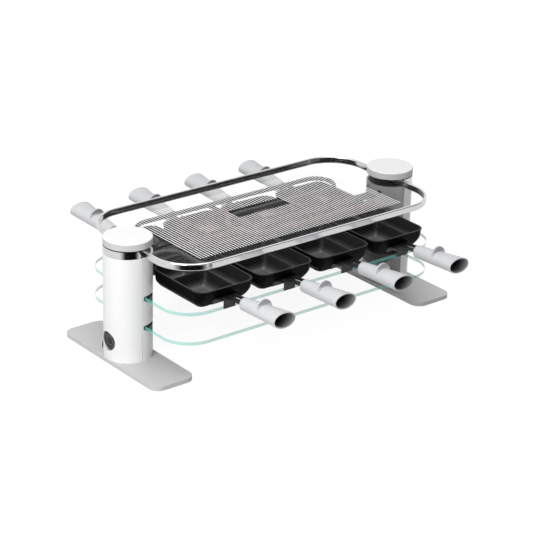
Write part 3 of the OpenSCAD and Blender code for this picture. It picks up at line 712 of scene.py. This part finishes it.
def band_skin(s, low, high):
    """Skin of the band: a bar with rounded edges, bent to a rounded rectangle."""
    arc_steps, corner_steps = 5, 24
    r, t, flat, profile = s.edge_r, s.bar_t, s.flat_edge, []
    for inset, z, first in ((r, low + r, 180), (r, high - r, 90), (t - r, high - r, 0),
                            (t - r, low + r, -90)):
        turns = [math.radians(first + 90 - 90 * k / arc_steps) for k in range(arc_steps + 1)]
        arc = [(inset + r * math.cos(a), z + r * math.sin(a)) for a in turns]
        before, after = turns[0], turns[-1]
        profile.append((arc[0][0] - flat * math.sin(before), arc[0][1] + flat * math.cos(before)))
        profile += arc
        profile.append((arc[-1][0] + flat * math.sin(after), arc[-1][1] - flat * math.cos(after)))
    rings = []
    for inset, z in profile:
        half_x, half_y, corner = s.half_l - inset, s.half_w - inset, s.corner - inset
        ring = []
        for k in range(4):
            mid_x = (half_x - corner) * (1 if k in (0, 3) else -1)
            mid_y = (half_y - corner) * (1 if k < 2 else -1)
            for step in range(corner_steps + 1):
                a = math.radians(90 * k + 90 * step / corner_steps)
                ring.append((mid_x + corner * math.cos(a), mid_y + corner * math.sin(a), z))
        rings.append(ring)
    return tube(rings, closed=True)


def formed(name, points, faces, place, material, body, node, slot, sharp=40):
    """Makes a smoothly shaded piece that shows in place of a CAD node."""
    mesh = bpy.data.meshes.new(name)
    mesh.from_pydata(points, [], faces)
    mesh.transform(place)
    mesh.shade_smooth()
    mesh.set_sharp_from_angle(angle=math.radians(sharp))
    mesh.materials.append(material)
    piece = bpy.data.objects.new(name, mesh)
    bpy.context.scene.collection.objects.link(piece)
    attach(piece, body)
    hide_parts(node)


# Pieces

class RACLETTE_OT_columns(bpy.types.Operator):
    """Finishes of the two columns: shells, caps, cores, trim rings, foot plates and pads"""
    bl_idname = "raclette.columns"
    bl_label = "Columns"

    def execute(self, context):
        chosen = context.scene.raclette_colours
        white = moulded_abs("gloss_white_abs", chosen.white_shell)
        caps = cap_finish("cap_abs_and_satin_side", chosen.white_shell, chosen.cap_side)
        paint = powder_paint("grey_powder_paint", chosen.grey_paint)
        pads = moulded_rubber("pad_rubber", chosen.pad)
        core = phenolic("black_phenolic", chosen.black_core)
        for side in SIDES:
            dress(white, f"{side}_outer_shell")
            dress(caps, f"{side}_cap")
            dress(paint, f"{side}_foot_plate")
            dress(pads, f"{side}_foot_pads")
            dress(core, f"{side}_column_core")
        dress(white, "left_inner_shell")
        # The right inner shell in white ABS, greyed as painted shade
        dress(moulded_abs("white_abs_painted_shade", chosen.painted_shade_shell), "right_inner_shell")
        return {"FINISHED"}


class RACLETTE_OT_band(bpy.types.Operator):
    """Chrome of the band round the cooking plate and of the trim rings"""
    bl_idname = "raclette.band"
    bl_label = "Band and trim rings"

    def execute(self, context):
        chrome = chrome_plate("chrome_plated_bar", context.scene.raclette_colours.chrome)
        dress(chrome, "chrome_band", "left_trim_ring", "right_trim_ring")
        low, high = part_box("chrome_band")
        skin = band_skin(context.scene.raclette_band, low.z, high.z)
        formed("formed_band", *skin, Matrix(), chrome, GRILL, "chrome_band", "chrome_trim", 60)
        return {"FINISHED"}


class RACLETTE_OT_cooking_plate(bpy.types.Operator):
    """Clear cooking plate with its printed lines"""
    bl_idname = "raclette.cooking_plate"
    bl_label = "Cooking plate"

    def execute(self, context):
        chosen, sizes = context.scene.raclette_colours, context.scene.raclette_print
        dress(sheet_glass("toughened_clear_glass", chosen.glass_face, chosen.plate_edge,
                          edge_cover=0.3), "cooking_plate")
        tree, keys = print_tree(fired_enamel("white_fired_enamel", chosen.print_white))
        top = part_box("cooking_plate")[1].z
        values = {keys["Pitch"]: sizes.pitch, keys["Line width"]: sizes.line,
                  keys["Film"]: sizes.film, keys["Half span"]: sizes.half_span,
                  keys["Half depth"]: sizes.half_depth,
                  keys["Window half width"]: sizes.window_half,
                  keys["Window front"]: sizes.window_front,
                  keys["Window back"]: sizes.window_back, keys["Glass top"]: top}
        grown("printed_lines", tree, values, GRILL)
        return {"FINISHED"}


class RACLETTE_OT_shelves(bpy.types.Operator):
    """Clear glass shelves with a green edge"""
    bl_idname = "raclette.shelves"
    bl_label = "Shelves"

    def execute(self, context):
        chosen = context.scene.raclette_colours
        dress(sheet_glass("green_edged_glass", chosen.glass_face, chosen.glass_edge,
                          edge_cover=0.55), "pan_shelf", "storage_shelf")
        return {"FINISHED"}


class RACLETTE_OT_element(bpy.types.Operator):
    """Heat tinted element with its rail, crossbars and terminals"""
    bl_idname = "raclette.element"
    bl_label = "Heating element"

    def execute(self, context):
        chosen = context.scene.raclette_colours
        dress(heated_steel("heat_tinted_tube", chosen.element), "heating_element")
        dress(heated_steel("heat_darkened_sheet", chosen.rail), "element_rail",
              "element_crossbars")
        dress(zinc_plate("zinc_plated_steel", chosen.zinc), "element_terminals", "plate_screws",
              "band_screws", "cap_screws")
        return {"FINISHED"}


class RACLETTE_OT_pans(bpy.types.Operator):
    """Pans with their coated dishes, brackets and satin handles"""
    bl_idname = "raclette.pans"
    bl_label = "Pans"

    def execute(self, context):
        chosen = context.scene.raclette_colours
        sizes = context.scene.raclette_pan
        coat = non_stick_coat("sprayed_non_stick", chosen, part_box("pan_dish_1")[1].z)
        dress(coat, *pan_names("dish"))
        points, faces = PanShape(sizes).build()
        grip = handle_plastic("satin_handle_plastic", chosen, sizes)
        dress(grip, *pan_names("handle"))
        dress(powder_paint("black_coated_sheet", chosen.bracket), *pan_names("bracket"))
        skin = handle_skin(sizes)
        for i in range(1, PAN_COUNT + 1):
            place = pan_place(i, sizes)
            formed(f"formed_pan_{i}", points, faces, place, coat, f"pan_{i}", f"pan_dish_{i}",
                   "non_stick")
            beside = Matrix.Translation((place.translation.x, 0, 0)) @ place.to_3x3().to_4x4()
            formed(f"formed_handle_{i}", *skin, beside, grip, f"pan_{i}", f"pan_handle_{i}",
                   "pale_plastic")
        return {"FINISHED"}


class RACLETTE_OT_electrics(bpy.types.Operator):
    """Switch, grommet, terminal block, fuse and wires"""
    bl_idname = "raclette.electrics"
    bl_label = "Switch and wiring"

    def execute(self, context):
        chosen = context.scene.raclette_colours
        low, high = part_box("switch_bezel")
        dress(switch_finish("switch_black_plastic", chosen.switch, chosen.groove,
                            (low.z + high.z) / 2),
              "switch_bezel", "switch_rocker", "switch_body")
        dress(satin_plastic("ivory_moulding", chosen.ivory), "terminal_block", "thermal_fuse")
        dress(moulded_rubber("silicone_sleeve", chosen.sleeve), "inner_wires")
        dress(moulded_rubber("grommet_rubber", chosen.grommet), "cord_grommet")
        return {"FINISHED"}


class RACLETTE_OT_stage(bpy.types.Operator):
    """Pale floor, soft studio light and the camera"""
    bl_idname = "raclette.stage"
    bl_label = "Stage"

    def execute(self, context):
        self.lay_floor(context)
        self.set_world(context)
        self.hang_lamps(context)
        self.place_camera(context)
        context.scene.view_settings.view_transform = "Standard"
        return {"FINISHED"}

    def lay_floor(self, context):
        """A floor that the camera and the chrome see as white, but for the grill's shadow, and for
        a dark card that only reflections show."""
        half, low = 20, -0.2 * MM
        mesh = bpy.data.meshes.new("floor")
        mesh.from_pydata([(-half, -half, low), (half, -half, low), (half, half, low),
                          (-half, half, low)], [], [(0, 1, 2, 3)])
        floor = bpy.data.objects.new("floor", mesh)
        context.scene.collection.objects.link(floor)
        mesh.materials.append(self.floor_finish(context))

    def floor_finish(self, context):
        """Plain pale floor, which glows softly where the camera or a mirror meets it."""
        chosen, base = context.scene.raclette_stage, context.scene.raclette_colours.floor
        made, tree, where = begun("pale_floor")
        path = add(tree, "ShaderNodeLightPath").outputs
        on_card = add(tree, MAPPING, {
            "Vector": where, "Location": (chosen.card_x, chosen.card_y, 0),
            "Rotation": (0, 0, chosen.card_turn),
            "Scale": (chosen.card_half_l, chosen.card_half_w, 1)}, vector_type="TEXTURE")
        away = add(tree, "ShaderNodeVectorMath", on_card, operation="LENGTH")
        card_whole, card_ends, direct_glow, mirrored_glow = 0.65, 1.15, 0.94, 0.8
        clear = add(tree, RANGE, away, card_whole, card_ends)
        carded = add(tree, MATHS, path["Is Glossy Ray"],
                     add(tree, MATHS, 1, clear, operation="SUBTRACT"), operation="MULTIPLY")
        mirrored = add(tree, MATHS, path["Is Glossy Ray"],
                       add(tree, MATHS, clear, mirrored_glow, operation="MULTIPLY"),
                       operation="MULTIPLY")
        direct = add(tree, MATHS, path["Is Camera Ray"], direct_glow, operation="MULTIPLY")
        lighting_share, seen_share = 0.42, 0.15
        lighting, seen = ([c * share for c in base] for share in (lighting_share, seen_share))
        shown = add(tree, MIX, carded, seen, (0, 0, 0), data_type="RGBA")
        return finished(made, base, {
            "Base Color": add(tree, MIX, background_share(tree), lighting, shown,
                              data_type="RGBA"),
            "Emission Color": (1, 1, 1),
            "Emission Strength": add(tree, MATHS, direct, mirrored, operation="MAXIMUM"),
            "Roughness": 0.9, "Specular IOR Level": 0.0})

    def set_world(self, context):
        """White background, a softer light on the grill, and a dark room low on the viewer's side
        that only reflections show."""
        world = bpy.data.worlds.new("studio")
        context.scene.world = world
        world.use_nodes = True
        tree = world.node_tree
        tree.nodes.clear()
        _, y, z = add(tree, SPLIT, add(tree, COORDINATES).outputs["Generated"]).outputs
        near_begins, near_whole, low_begins, low_whole, room_light = -0.1, -0.4, 0.75, 0.6, 0.05
        room = add(tree, MATHS, add(tree, RANGE, y, near_begins, near_whole),
                   add(tree, RANGE, z, low_begins, low_whole), operation="MULTIPLY")
        glossy = add(tree, "ShaderNodeLightPath").outputs["Is Glossy Ray"]
        dark = add(tree, MATHS, room, glossy, operation="MULTIPLY")
        light = add(tree, RANGE, background_share(tree), 0, 1, context.scene.raclette_stage.sky, 1)
        strength = add(tree, MATHS, light, add(tree, RANGE, dark, 0, 1, 1, room_light),
                       operation="MULTIPLY")
        sky = add(tree, "ShaderNodeBackground", (1, 1, 1), strength)
        add(tree, "ShaderNodeOutputWorld", sky)

    def hang_lamps(self, context):
        """A key lamp low at the left and a wide lamp overhead, both aimed at the grill."""
        chosen, middle = context.scene.raclette_stage, Vector((0, 0, 0.1))
        for name, place, side, power in (("key", (-1.25, -0.6, 0.7), 0.9, chosen.key),
                                         ("top", (-0.05, 0, 1.7), 1.2, chosen.top)):
            light = bpy.data.lights.new(name, "AREA")
            light.shape, light.size, light.energy = "SQUARE", side, power
            lamp = bpy.data.objects.new(name, light)
            lamp.location = place
            aim = middle - lamp.location
            lamp.rotation_euler = aim.to_track_quat("-Z", "Y").to_euler()
            context.scene.collection.objects.link(lamp)

    def place_camera(self, context):
        """The camera of the photograph, from its place, turn, tilt and roll."""
        chosen = context.scene.raclette_stage
        yaw, pitch, roll = chosen.yaw, chosen.pitch, chosen.roll
        ahead = Vector((math.sin(yaw) * math.cos(pitch), math.cos(yaw) * math.cos(pitch),
                        -math.sin(pitch)))
        right = Vector((math.cos(yaw), -math.sin(yaw), 0))
        down = ahead.cross(right)
        across = right * math.cos(roll) + down * math.sin(roll)
        below = down * math.cos(roll) - right * math.sin(roll)
        data = bpy.data.cameras.new("camera")
        data.sensor_width, data.lens = 36, chosen.lens
        data.clip_start, data.clip_end = 0.05, 100
        camera = bpy.data.objects.new("camera", data)
        turn = Matrix((across, -below, -ahead)).transposed().to_4x4()
        camera.matrix_world = Matrix.Translation(chosen.place) @ turn
        context.scene.collection.objects.link(camera)
        context.scene.camera = camera


# Add-on

OPERATORS = (RACLETTE_OT_columns, RACLETTE_OT_band, RACLETTE_OT_cooking_plate,
             RACLETTE_OT_shelves, RACLETTE_OT_element, RACLETTE_OT_pans, RACLETTE_OT_electrics,
             RACLETTE_OT_stage)
GROUPS = {"raclette_colours": RacletteColours, "raclette_print": RaclettePrint,
          "raclette_pan": RaclettePan, "raclette_band": RacletteBand,
          "raclette_stage": RacletteStage}


class RACLETTE_PT_grill(bpy.types.Panel):
    """Lists the steps that dress the grill"""
    bl_idname = "RACLETTE_PT_grill"
    bl_label = "Raclette Grill"
    bl_space_type = "VIEW_3D"
    bl_region_type = "UI"
    bl_category = "Raclette Grill"

    def draw(self, context):
        for step in OPERATORS:
            self.layout.operator(step.bl_idname)
        for group in (getattr(context.scene, name) for name in GROUPS):
            box = self.layout.box()
            for name in group.__annotations__:
                box.prop(group, name)


def register():
    for kind in (*GROUPS.values(), *OPERATORS, RACLETTE_PT_grill):
        bpy.utils.register_class(kind)
    for name, kind in GROUPS.items():
        setattr(bpy.types.Scene, name, bpy.props.PointerProperty(type=kind))


def unregister():
    for name in GROUPS:
        delattr(bpy.types.Scene, name)
    for kind in reversed((*GROUPS.values(), *OPERATORS, RACLETTE_PT_grill)):
        bpy.utils.unregister_class(kind)


def main():
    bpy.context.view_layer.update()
    register()
    for step in OPERATORS:
        group, name = step.bl_idname.split(".")
        getattr(getattr(bpy.ops, group), name)()


if __name__ == "__main__":
    main()
